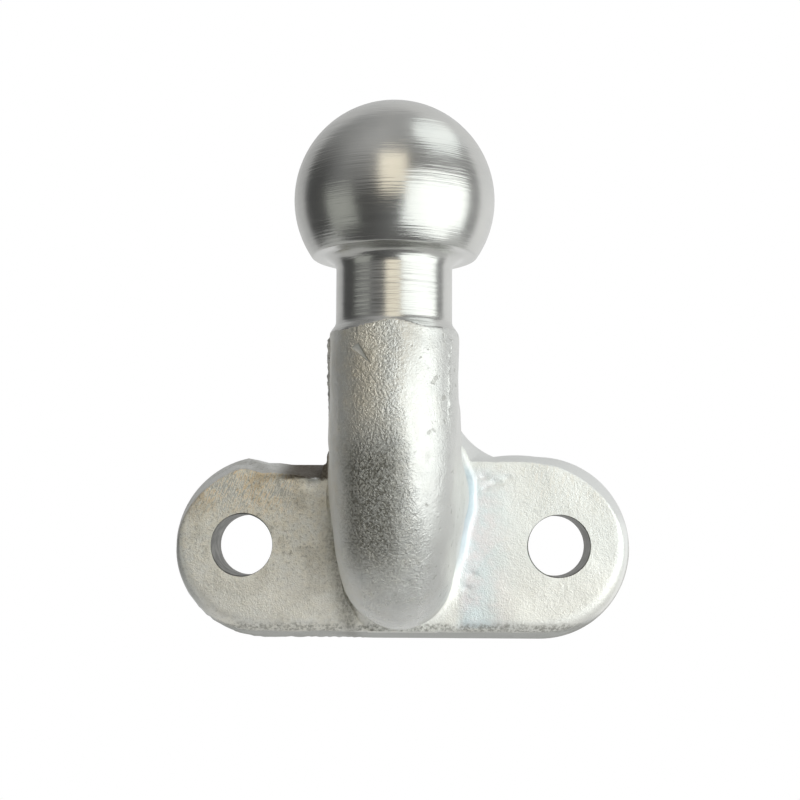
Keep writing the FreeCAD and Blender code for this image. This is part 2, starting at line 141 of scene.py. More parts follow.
# Colours of the zinc, of what lies on it, and of painted reflections and shade
COOL_FILM, WARM_FILM = (0.94, 0.96, 0.94, 1), (0.98, 0.925, 0.785, 1)
CREAM_FILM = (1.0, 0.985, 0.93, 1)
GOLD_STROKE, PALE_STROKE = (1.0, 0.82, 0.56, 1), (1.0, 0.97, 0.90, 1)
# Painted reflection tints for the face and fillet beside the arm's right root, and painted
# shade for that fillet
BLUE_PAINTED_SHEEN, PINK_PAINTED_SHEEN = (0.80, 0.90, 0.94, 1), (0.91, 0.88, 0.91, 1)
SHEEN_SHADE = (0.54, 0.62, 0.66, 1)
# ARM_WARM_REFLECTION is a painted warm reflection on the upper sand of the arm's front
ARM_GREY, ARM_WARM_REFLECTION = (0.60, 0.60, 0.57, 1), (0.74, 0.64, 0.46, 1)
SMOOTH_GREY = (0.6, 0.6, 0.59, 1)
LEFT_WALL, RIGHT_WALL = (0.62, 0.63, 0.62, 1), (0.77, 0.78, 0.765, 1)
LOWER_WALL = (0.46, 0.47, 0.45, 1)
MACHINED_ZINC = (0.72, 0.72, 0.70, 1)
# The thin scale colour also paints shade in the arm's hollow and beside its left root
THIN_SCALE_AND_PAINTED_SHADE, THICK_SCALE = (0.22, 0.215, 0.185, 1), (0.12, 0.10, 0.075, 1)
CRUST = (0.10, 0.085, 0.065, 1)
TURNED_LIGHT, TURNED_DARK = (0.64, 0.64, 0.615, 1), (0.605, 0.61, 0.59, 1)
DRILLED_LIGHT, DRILLED_DARK = (0.24, 0.24, 0.22, 1), (0.14, 0.14, 0.13, 1)
BLACK, WHITE = (0, 0, 0, 1), (1, 1, 1, 1)
FLOOR = (0.9, 0.9, 0.9, 1)

# The studio, in metres: the lamps' distance from the ball, and the floor's half width,
# front and back edge and level
LAMP_DISTANCE = 0.8
FLOOR_X, FLOOR_FRONT, FLOOR_BACK, FLOOR_Z = 0.4, -0.12, 0.15, -0.11


def spline_through(knots, values, t):
    """Smooth curve through points: one cubic, plus a cubed ramp that starts at each inner
    knot, weighted so that the sum passes through every point."""
    def basis(place):
        """The powers 0 to 3 of each place and its cubed ramps, a column each."""
        powers = place[:, None] ** np.arange(4)
        ramps = np.clip(place[:, None] - knots[2:-2], 0, None) ** 3
        return np.hstack([powers, ramps])

    weights = np.linalg.solve(basis(knots), values.reshape(len(knots), -1))
    return (basis(t) @ weights).reshape(len(t), *values.shape[1:])


def smoothstep(low, high, value):
    """Goes from 0 at low to 1 at high, level at both ends; low may be the greater one."""
    u = np.clip((value - low) / (high - low), 0, 1)
    return u * u * (3 - 2 * u)


def swell(centre, width, place):
    """Bell curve: 1 at the centre, fading to nothing about two widths from it."""
    return np.exp(-((place - centre) / width) ** 2)


def soft_min(a, b, width):
    """The smaller of two values, with the corner between them rounded over a width."""
    overlap = np.clip(width - np.abs(a - b), 0, None)
    return np.minimum(a, b) - overlap ** 2 / (4 * width)


def waves(points, length, seed):
    """Random smooth field of about unit size: the sum of plane waves of about the given
    wavelength in random directions with random phases."""
    count = 40
    rng = np.random.default_rng(seed)
    ways = rng.normal(size=(count, 3))
    ways *= (rng.uniform(0.7, 1.4, count) * 2 * math.pi / length
             / np.linalg.norm(ways, axis=1))[:, None]
    total = np.zeros(points.shape[:-1])
    for way, phase in zip(ways, rng.uniform(0, 2 * math.pi, count)):
        total += np.sin(points @ way + phase)
    return total / math.sqrt(count / 2)


def outward(points):
    """Unit normals of a grid of rings: the step to the next ring crossed with the step to
    the next point of the same ring."""
    along = np.gradient(points, axis=0)
    around = np.roll(points, -1, axis=1) - np.roll(points, 1, axis=1)
    normal = np.cross(along, around)
    return normal / np.maximum(np.linalg.norm(normal, axis=-1, keepdims=True), TINY)


def inside(corners, x, z):
    """Depth inside a triangle given clockwise: the least distance to its three sides."""
    depths = []
    for start, end in zip(corners, np.roll(corners, -1, axis=0)):
        along = (end - start) / np.linalg.norm(end - start)
        depths.append((x - start[0]) * along[1] - (z - start[1]) * along[0])
    return np.clip(np.min(depths, axis=0), 0, None)


def arc(centre, radius, start, end, count):
    """Points on a circle's arc, from the start to the end angle in degrees."""
    angle = np.radians(np.linspace(start, end, count))
    return np.stack([centre[0] + radius * np.cos(angle),
                     centre[1] + radius * np.sin(angle)], 1)


def egg_reach(near, near_r, far, far_r):
    """Distance from a ring's centre to an egg, in every direction THETA. The egg is the
    hull of two rounds centred at near and far along the direction 0: a ray ends on the
    straight flank if it meets it between the flank's tangent points, else on a round."""
    across, along = np.abs(np.sin(THETA)), np.cos(THETA)
    lean = (far_r - near_r) / (near - far)
    slope = np.sqrt(1 - lean ** 2) * across + lean * along
    flank = (lean * near + near_r) / np.where(np.abs(slope) < TINY, TINY, slope)
    flank = np.where(slope > 0, flank, FAR)
    on_near = near * along + np.sqrt(np.clip(near_r ** 2 - (near * across) ** 2, 0, None))
    on_far = far * along + np.sqrt(np.clip(far_r ** 2 - (far * across) ** 2, 0, None))
    height = flank * along
    reach = np.where(height > far + far_r * lean, on_far, flank)
    return np.where(height < near + near_r * lean, on_near, reach)


def ball_rows():
    """Surface of revolution about the ball's upright axis: the ball from beside its pole
    to its flat underside, the blend under it and the neck. The last number of each arc and
    line is its count of points."""
    edge_r = math.sqrt((BALL_R - UNDERSIDE_EDGE) ** 2 - (UNDERSIDE - UNDERSIDE_EDGE) ** 2)
    edge = (edge_r, UNDERSIDE_EDGE - UNDERSIDE)
    lowest = math.degrees(math.atan2(edge[1], edge[0]))
    blend = (NECK_R + NECK_BLEND, -UNDERSIDE - NECK_BLEND)
    profile = np.concatenate([
        arc((0, 0), BALL_R, 90, lowest, 45)[1:],
        arc(edge, UNDERSIDE_EDGE, lowest, -90, 6)[1:],
        np.linspace((edge_r, -UNDERSIDE), (blend[0], -UNDERSIDE), 4)[1:],
        arc(blend, NECK_BLEND, 90, 180, 11)[1:],
        np.linspace((NECK_R, blend[1]), (NECK_R, RUNOUT_GAP - NECK_DROP), 7)[1:],
    ])
    r, z = profile[:, :1], profile[:, 1:]
    return np.stack([r * np.sin(THETA), BALL_Y - r * np.cos(THETA),
                     BALL_Z + z + 0 * THETA], -1)


def arm_station(rise, tilt, rounds, flank, middle, back=0):
    """Ring of points on one egg section of the arm, at a tilt round the pivot line."""
    length = BAR_FLAT + (ROOT_FLANK - BAR_FLAT) * flank
    near_r = BAR_R + (ROOT_TOP_R - BAR_R) * rounds
    far_r = BAR_R + (ROOT_LOW_R - BAR_R) * rounds
    reach = egg_reach(-middle * length, near_r, (1 - middle) * length, far_r)[0]
    out = THROAT + near_r + middle * length + reach * np.cos(THETA[0])
    tilt = math.radians(tilt)
    return np.stack([reach * np.sin(THETA[0]), PIVOT_Y + back - out * math.cos(tilt),
                     PIVOT_Z + rise - out * math.sin(tilt)], -1)


def arm_rows():
    """Forged bar, elbow and straight foot of the arm, down to its root fillet: a smooth
    surface through the arm's egg sections, which fan out from the pivot line. Its rings
    lie closest together about the shoulder, where the bar meets the turned neck."""
    top = BALL_Z - UNDERSIDE - PIVOT_Z
    stations = np.array([arm_station(top, *STATIONS[0]), arm_station(top / 2, *STATIONS[0])]
                        + [arm_station(0, *station) for station in STATIONS[:-1]]
                        + [arm_station(0, *STATIONS[-1], back=ROOT_Y - PIVOT_Y)])
    middles = stations.mean(axis=1)
    steps = np.linalg.norm(np.diff(middles, axis=0), axis=1)
    path = np.concatenate([[0], np.cumsum(steps)])
    bar, heel, root = path[2], path[5], path[6]
    shoulder, elbow = bar - 4.9, bar + 5
    foot = heel + (root - heel) * (THICK + ROOT_FILLET + PIVOT_Y) / (PIVOT_Y - ROOT_Y)
    rows = np.concatenate([np.linspace(shoulder, elbow, 34),
                           np.linspace(elbow, heel, 112)[1:],
                           np.linspace(heel, foot, 14)[1:]])
    return spline_through(path / root, stations, rows / root)


def forge(points):
    """Forged skin of the arm: long waves, short waves and lumps along the normals, a
    flattened crown under the neck, the scrape and small knocks."""
    x, y, z = np.moveaxis(points, -1, 0)
    front = smoothstep(BALL_Y + 8, BALL_Y - 6, y) + smoothstep(PIVOT_Z - 20, PIVOT_Z - 40, z)
    front = np.clip(front, 0, 1)
    sandy = smoothstep(-13, -9, x) * smoothstep(4, 0, x) * front
    height = ARM_LONG_HEIGHT * waves(points, ARM_LONG, 3)
    height += ARM_SHORT_HEIGHT * waves(points, ARM_SHORT, 4)
    height += ARM_LUMP_HEIGHT * (0.3 + sandy) * waves(points, ARM_LUMP, 5)
    height -= CROWN_FLAT * swell(-1, 5.5, x) * smoothstep(PIVOT_Z - 16, PIVOT_Z, z) * front
    height -= SCRAPE_DEPTH * smoothstep(0, 0.6, inside(SCRAPE, x, z)) * front
    for knock_x, knock_z, width, depth in KNOCKS:
        height -= depth * swell(knock_x, width, x) * swell(knock_z, width * 1.3, z) * front
    return points + height[..., None] * outward(points)


def trim_flash(points):
    """Flash left by the trimming tool on both flanks: on the left a band round the pivot
    line where no point lies nearer to the middle than a ragged plane, on the right a low
    beaded line further forward."""
    x, y, z = np.moveaxis(points, -1, 0)
    below = np.minimum(z - PIVOT_Z, 0)
    turn = np.hypot(y - PIVOT_Y, below) - FLASH_LINE
    ragged = waves(points, 1.6, 8)
    band = smoothstep(1.25, 0.95, np.abs(turn + 0.2 * ragged) / (FLASH_WIDTH / 2))
    band = band * smoothstep(PIVOT_Z - 0.2, PIVOT_Z - 1.4, z)
    edge = np.maximum(np.abs(x), FLASH_X + 0.16 * ragged - 0.1)
    flank = np.sign(x) * (np.abs(x) + (edge - np.abs(x)) * band)
    beads = swell(BEADS_AHEAD - 0.28 * below, BEADS_WIDTH, turn)
    beads = beads * smoothstep(PIVOT_Z - 1, PIVOT_Z - 3, z) * (0.16 + 0.18 * ragged)
    beads = beads * smoothstep(PIVOT_Z - 28, PIVOT_Z - 20, z)
    return np.stack([np.where(x < -8, flank, np.where(x > 8, x + beads, x)), y, z], -1)


def lathe_radius(z):
    """Radius that the turning tool leaves at a height: the neck, then a hollow where the
    tool runs out, then a straight slope outwards."""
    drop = (BALL_Z - NECK_DROP) - z
    turn = RUNOUT_R * math.sin(RUNOUT_SLOPE)
    hollow = RUNOUT_R - np.sqrt(RUNOUT_R ** 2 - np.clip(drop, 0, turn) ** 2)
    return NECK_R + hollow + np.clip(drop - turn, 0, None) * math.tan(RUNOUT_SLOPE)


def turn_neck(points):
    """Turn points of the forged bar on the ball's upright axis: none stays further out
    than the tool's path. Returns the points and the share by which each was turned."""
    x, y, z = np.moveaxis(points, -1, 0)
    distance = np.hypot(x, y - BALL_Y)
    limit = np.where(z > PIVOT_Z - TOOL_REACH, lathe_radius(z), FAR)
    scale = soft_min(distance, limit, SHOULDER_SOFT) / distance
    turned = np.stack([x * scale, BALL_Y + (y - BALL_Y) * scale, z], -1)
    return turned, smoothstep(-0.1, 0.1, distance - limit)


def trimmed_top(x):
    """Height of the left upper edge, which dips at its outer end, drops a little more
    halfway and climbs steeply beside the arm."""
    dip = UPPER + 0.6 - 2.55 * smoothstep(-46.5, -40.5, x) - 0.5 * smoothstep(-37, -32, x)
    return dip + 12 * np.clip((x + 22.6) / 2.1, 0, 1.5)


def outline_points(inset):
    """The flange's outline seen from the front, moved inwards by an inset: straight lower
    edge, round ends, straight upper edge, hollow flares and the tongue behind the arm;
    the left upper edge is trimmed lower along a line."""
    flare_count, tongue_count = 60, 40
    corner = np.array([TONGUE_X - TONGUE_CORNER, UPPER + TONGUE_RISE - TONGUE_CORNER])
    foot = np.array([FLARE_FOOT, UPPER])
    gap = foot - corner
    wide = np.linalg.norm(gap)
    along = (wide ** 2 + (FLARE_R + TONGUE_CORNER) ** 2 - FLARE_R ** 2) / (2 * wide)
    beside = math.sqrt((FLARE_R + TONGUE_CORNER) ** 2 - along ** 2)
    unit = gap / wide
    flare = corner + along * unit + beside * np.array([-unit[1], unit[0]])
    touch = math.degrees(math.atan2(*(flare - corner)[::-1]))
    foot_angle = -180 + math.degrees(math.asin((flare[1] - UPPER + inset) / (FLARE_R + inset)))
    right = np.concatenate([
        np.linspace((0, LOW[2] + inset), (END_X, LOW[2] + inset), 120),
        arc((END_X, MID_Z), END_R - inset, -90, 90, 240)[1:],
        arc(flare, FLARE_R + inset, foot_angle, touch - 180, flare_count),
        arc(corner, TONGUE_CORNER - inset, touch, 90, tongue_count)[1:],
        np.array([[0, UPPER + TONGUE_RISE - inset]]),
    ])
    left = right[-2:0:-1] * [-1, 1]
    flare_end = tongue_count - 1 + flare_count
    fill = np.linspace((-FLARE_FOOT, UPPER - inset), (-END_X, UPPER - inset), 60)
    left = np.concatenate([left[:flare_end], fill, left[flare_end:]])
    left[:, 1] = np.minimum(left[:, 1], trimmed_top(left[:, 0]) - inset)
    return np.concatenate([right, left])


class Flange:
    """Wall of the flange as a distance from its middle, for any inset of the outline."""

    def __init__(self):
        self.insets = np.linspace(-1, 7.5, 69)
        self.table = np.array([self.outline_reach(inset) for inset in self.insets])

    @staticmethod
    def outline_reach(inset):
        """Distances from the flange's middle to its outline in every direction THETA."""
        points = outline_points(inset)
        angle = np.arctan2(points[:, 0], ROOT_MIDDLE - points[:, 1])
        reach = np.hypot(points[:, 0], points[:, 1] - ROOT_MIDDLE)
        return np.interp(THETA[0], angle % (2 * math.pi), reach, period=2 * math.pi)

    def reach(self, inset):
        """Rows of distances for rows of insets, straight between the table's insets."""
        step = self.insets[1] - self.insets[0]
        place = np.clip((inset - self.insets[0]) / step, 0, len(self.insets) - 1.001)
        row = place.astype(int)
        column = np.broadcast_to(np.arange(COLUMNS), row.shape)
        share = place - row
        return self.table[row, column] * (1 - share) + self.table[row + 1, column] * share


def wall_draft(ragged):
    """Lean of the flange's wall in every direction THETA, as its inset over its depth: the
    trimmed upper left wall and the upper corners of both lobes lean more than the rest,
    and the right upper wall leans less."""
    trimmed = smoothstep(240, 231, DEGREES) * smoothstep(220, 225, DEGREES)
    corners = swell(106, 11, DEGREES) + swell(254, 11, DEGREES)
    steep = RIGHT_STEEPER * swell(128, 14, DEGREES)
    return DRAFT * (1 + (0.5 + 0.12 * ragged) * trimmed + 0.35 * corners - steep)


def root_egg(offset):
    """Distances from the flange's middle to the arm's root, grown outwards by an offset."""
    half = ROOT_FLANK / 2
    return egg_reach(-half, ROOT_TOP_R + offset, half, ROOT_LOW_R + offset)


def root_fillet(foot, ragged):
    """Quarter round from the arm's foot to the flange's face: rows of distances from the
    middle and rows of places along Y. It is tight on the left, where a crease runs along
    it, and a little tighter on the right than below."""
    inwards = np.hypot(foot[:, 0], foot[:, 2] - ROOT_MIDDLE)[None, :]
    leftward = smoothstep(0.1, -0.7, RIGHTWARD)
    narrow = 1 - 0.65 * leftward - 0.2 * smoothstep(0, 0.7, RIGHTWARD)
    narrow = narrow + 0.06 * ragged * np.abs(RIGHTWARD)
    swing = np.linspace(0, math.pi / 2, 13)[1:, None]
    fillet = inwards + root_egg(ROOT_FILLET * narrow * (1 - np.cos(swing))) - root_egg(0)
    fillet_y = -THICK + (foot[None, :, 1] + THICK) * (1 - np.sin(swing))
    return fillet, fillet_y + CREASE * leftward * smoothstep(0.8, 1.5, swing)


def face_skin(points):
    """Height of the flange's forged skin: long and short waves that end at the machined
    back, and knocks in the front face."""
    x, y, z = np.moveaxis(points, -1, 0)
    skin = FLANGE_LONG_HEIGHT * waves(points, FLANGE_LONG, 21)
    skin += FLANGE_SHORT_HEIGHT * waves(points, FLANGE_SHORT, 22)
    skin *= smoothstep(0, -4, y)
    for knock_x, knock_z, width, depth in FACE_KNOCKS:
        knock = swell(knock_x, width * 1.5, x) * swell(knock_z, width, z)
        skin -= depth * knock * smoothstep(-14, -17, y)
    return skin


def flange_rows(foot):
    """Root fillet, front face, rim, drafted wall and back of the flange: in each direction
    a section from the arm's foot outwards, over the rim and back to the middle. The right
    flare slopes back from the level of the face's upper edge, the wall's back edge is torn
    at the lower left, and the skin fades out where the face is narrow."""
    wall = Flange()
    ragged = waves(foot, 5, 11)[None, :]
    draft = wall_draft(ragged)
    fillet, fillet_y = root_fillet(foot, ragged)
    fillet = np.minimum(fillet, wall.reach(-fillet_y * draft))

    inner = fillet[-1:]
    least = inner + FACE_LEAST
    corner = wall.reach(THICK * draft)
    height = (1 + np.cos(THETA)) / 2
    round_r = RIM_GROUND + (RIM_ROUND - RIM_GROUND) * smoothstep(0.36, 0.62, height)
    round_r = np.minimum(round_r, np.clip((corner - inner) * 0.6, RIM_LEAST, None))
    slant = np.arctan(draft)
    round_y = round_r - THICK
    round_inset = round_r / np.cos(slant) - round_y * draft
    upper_edge = UPPER - (1 - RIGHT_STEEPER) * THICK * DRAFT
    level = (upper_edge - ROOT_MIDDLE) / np.clip(-np.cos(THETA), TINY, None)
    level = np.where(RIGHTWARD > 0.3, level, FAR)
    outer = np.maximum(np.minimum(wall.reach(round_inset), level), least)
    face = inner + (outer - inner) * np.linspace(0, 1, 41)[1:, None]
    face_y = np.full(face.shape, -float(THICK))

    swing = np.linspace(0, 1, 8)[1:, None] * (math.pi / 2 - slant)
    rim_y = round_y - round_r * np.cos(swing)
    rim = wall.reach(round_inset - round_r * np.sin(swing))
    rim = np.maximum(np.minimum(rim, level + 0.3 * np.sin(swing)), least)
    share = np.linspace(0, 1, 15)[1:, None]
    side_y = rim_y[-1:] * (1 - share) - BACK_BREAK / 2
    torn = np.random.default_rng(31).uniform(0, TORN, (1, COLUMNS))
    torn = torn * smoothstep(272, 290, DEGREES) * smoothstep(345, 330, DEGREES)
    side = rim[-1:] + (wall.reach(BACK_BREAK / 2 * draft + torn) - rim[-1:]) * share
    back = wall.reach(np.full((1, COLUMNS), BACK_BREAK)) * np.linspace(1, 0, 10)[:-1, None]

    reach = np.concatenate([fillet, face, rim, side, back])
    y = np.concatenate([fillet_y, face_y, rim_y, side_y, 0 * back])
    points = np.stack([reach * np.sin(THETA), y, ROOT_MIDDLE - reach * np.cos(THETA)], -1)
    skin = face_skin(points) * smoothstep(0.3, 1.5, outer - inner)
    return points + skin[..., None] * outward(points)


def link(name, data):
    """New object in the scene, at the origin."""
    piece = bpy.data.objects.new(name, data)
    bpy.context.collection.objects.link(piece)
    return piece


def grid_mesh(name, points, first_pole, last_pole, turned):
    """Closed mesh of a grid of rings, with a pole at either end. Each cell is a quad and
    each pole a fan; rows that run together are merged. A quad gets the turned finish where
    the mean turned share of its corners is over a half, and so does the first pole's fan."""
    rows = len(points)
    number = np.arange(rows * COLUMNS).reshape(rows, COLUMNS)
    right = np.roll(number, -1, axis=1)
    quads = np.stack([number[:-1], number[1:], right[1:], right[:-1]], -1).reshape(-1, 4)
    top, bottom = rows * COLUMNS, rows * COLUMNS + 1
    fans = [np.stack([np.full(COLUMNS, top), number[0], right[0]], -1),
            np.stack([np.full(COLUMNS, bottom), right[-1], number[-1]], -1)]
    vertices = np.concatenate([points.reshape(-1, 3), [first_pole, last_pole]]) * MM
    mesh = bpy.data.meshes.new(name)
    mesh.from_pydata(vertices.tolist(), [], quads.tolist() + np.concatenate(fans).tolist())
    is_turned = np.concatenate([turned.ravel()[quads].mean(axis=1) > 0.5,
                                np.ones(COLUMNS), np.zeros(COLUMNS)])
    mesh.polygons.foreach_set("material_index", is_turned.astype(np.int32))
    shape = bmesh.new()
    shape.from_mesh(mesh)
    bmesh.ops.remove_doubles(shape, verts=shape.verts, dist=0.004 * MM)
    shape.to_mesh(mesh)
    shape.free()
    return link(name, mesh)


def drill_bits():
    """Two drills as one mesh, each a surface of revolution about an axis along Y: a cone
    that breaks the hole's front edge, the bore and a cone that breaks its back edge."""
    wide = HOLE_R + HOLE_BREAK + 1
    profile = np.array([[0, -THICK - 3], [wide, -THICK - 3], [wide, -THICK - 1],
                        [HOLE_R, HOLE_BREAK - THICK], [HOLE_R, -HOLE_BREAK], [wide, 1],
                        [wide, 3], [0, 3]])
    shape = bmesh.new()
    for x in (-HOLE_X, HOLE_X):
        corners = [shape.verts.new(((x + r) * MM, y * MM, 0)) for r, y in profile]
        edges = [shape.edges.new(pair) for pair in zip(corners, corners[1:])]
        bmesh.ops.spin(shape, geom=corners + edges, cent=(x * MM, 0, 0), axis=(0, 1, 0),
                       angle=2 * math.pi, steps=96, use_merge=True)
    bmesh.ops.remove_doubles(shape, verts=shape.verts, dist=0.002 * MM)
    bmesh.ops.recalc_face_normals(shape, faces=shape.faces)
    mesh = bpy.data.meshes.new("drill_bits")
    shape.to_mesh(mesh)
    shape.free()
    return mesh


def drill(piece, wall):
    """Cut both bolt holes through a closed piece; their walls get a material."""
    bits = link("drill_bits", drill_bits())
    bits.data.materials.append(wall)
    cut = piece.modifiers.new("bolt_holes", "BOOLEAN")
    cut.operation = "DIFFERENCE"
    cut.solver = "EXACT"
    cut.material_mode = "TRANSFER"
    cut.object = bits
    bpy.context.view_layer.update()
    evaluated = piece.evaluated_get(bpy.context.evaluated_depsgraph_get())
    drilled = bpy.data.meshes.new_from_object(evaluated)
    piece.modifiers.clear()
    piece.data = drilled
    bpy.data.objects.remove(bits)


class Wire:
    """Output socket of a shader tree. Sums, differences and products of wires and numbers
    add Math nodes."""

    def __init__(self, tree, socket):
        self.tree = tree
        self.socket = socket

    @staticmethod
    def add(tree, kind, settings=None, inputs=None, output=0):
        """Add a node: its settings first, then the values or wires of its inputs."""
        node = tree.nodes.new(kind)
        for key, value in (settings or {}).items():
            setattr(node, key, value)
        for key, value in (inputs or {}).items():
            if isinstance(value, Wire):
                tree.links.new(value.socket, node.inputs[key])
            else:
                node.inputs[key].default_value = value
        return Wire(tree, node.outputs[output]) if node.outputs else None

    def beside(self, *outputs):
        """Other outputs of this wire's node."""
        return [Wire(self.tree, self.socket.node.outputs[output]) for output in outputs]

    def math(self, operation, *values):
        """Result of a Math node on this wire and more values."""
        return Wire.add(self.tree, "ShaderNodeMath", {"operation": operation},
                        dict(enumerate((self,) + values)))

    def most(self, other):
        """The greater of this wire and another value."""
        return self.math("MAXIMUM", other)

    def rise(self, low, high):
        """Rises smoothly from 0 at low to 1 at high, or falls if high is the lower one."""
        first, last = sorted((low, high))
        ends = (0.0, 1.0) if low < high else (1.0, 0.0)
        return Wire.add(self.tree, "ShaderNodeMapRange", {"interpolation_type": "SMOOTHSTEP"},
                        {"Value": self, "From Min": first, "From Max": last,
                         "To Min": ends[0], "To Max": ends[1]})

    def blend(self, start, end):
        """Colour that goes from start to end as this wire goes from 0 to 1."""
        return Wire.add(self.tree, "ShaderNodeMix", {"data_type": "RGBA"},
                        {0: self, 6: start, 7: end}, 2)

    def __add__(self, other):
        return self.math("ADD", other)

    def __sub__(self, other):
        return self.math("SUBTRACT", other)

    def __rsub__(self, other):
        return Wire.add(self.tree, "ShaderNodeMath", {"operation": "SUBTRACT"},
                        {0: other, 1: self})

    def __mul__(self, other):
        return self.math("MULTIPLY", other)

    __radd__ = __add__
    __rmul__ = __mul__


def new_material(name):
    """Empty material and its tree."""
    material = bpy.data.materials.new(name)
    material.use_nodes = True
    material.node_tree.nodes.clear()
    return material, material.node_tree


def place(tree, stretch=(1, 1, 1)):
    """Place on the piece in millimetres, times a factor along each axis for a texture."""
    object_place = Wire.add(tree, "ShaderNodeTexCoord", output="Object")
    return Wire.add(tree, "ShaderNodeMapping", {"vector_type": "POINT"},
                    {"Vector": object_place, "Scale": tuple(factor / MM for factor in stretch)})


def split(tree, vector):
    """The three coordinates of a vector."""
    x = Wire.add(tree, "ShaderNodeSeparateXYZ", inputs={0: vector})
    return [x] + x.beside(1, 2)


def grain(tree, where, size, detail=2, rough=0.5):
    """Cloudy noise from 0 to 1 with spots of about the given size."""
    return Wire.add(tree, "ShaderNodeTexNoise", inputs={
        "Vector": where, "Scale": 1 / size, "Detail": detail, "Roughness": rough})


def strokes(tree, x, z, lean, length, width):
    """Noise drawn out into strokes on an upright plane across the piece, leaning from the
    upright by an angle in degrees."""
    cos, sin = math.cos(math.radians(lean)), math.sin(math.radians(lean))
    across = x * (cos / width) - z * (sin / width)
    along = x * (sin / length) + z * (cos / length)
    drawn = Wire.add(tree, "ShaderNodeCombineXYZ", inputs={0: across, 1: along})
    return grain(tree, drawn, 1, 3)


def scraped(x, z):
    """1 inside the scraped triangle on the arm, 0 outside it."""
    depth = None
    for start, end in zip(SCRAPE, np.roll(SCRAPE, -1, axis=0)):
        across, up = (end - start) / np.linalg.norm(end - start)
        side = (x - start[0]) * up - (z - start[1]) * across
        depth = side if depth is None else depth.math("MINIMUM", side)
    return depth.rise(0, 0.3)


def metal(tree, colour, roughness, height, bare=1.0, matt=0.0):
    """Metal surface, bare or under scale, and matt where scale is thick; the height in
    millimetres bumps it."""
    bump = Wire.add(tree, "ShaderNodeBump", inputs={
        "Strength": 1.0, "Distance": MM, "Height": height})
    surface = Wire.add(tree, "ShaderNodeBsdfPrincipled", inputs={
        "Base Color": colour, "Metallic": bare, "Roughness": roughness, "Normal": bump})
    crust = Wire.add(tree, "ShaderNodeBsdfDiffuse", inputs={"Color": CRUST, "Normal": bump})
    surface = Wire.add(tree, "ShaderNodeMixShader", inputs={0: matt, 1: surface, 2: crust})
    Wire.add(tree, "ShaderNodeOutputMaterial", inputs={"Surface": surface})


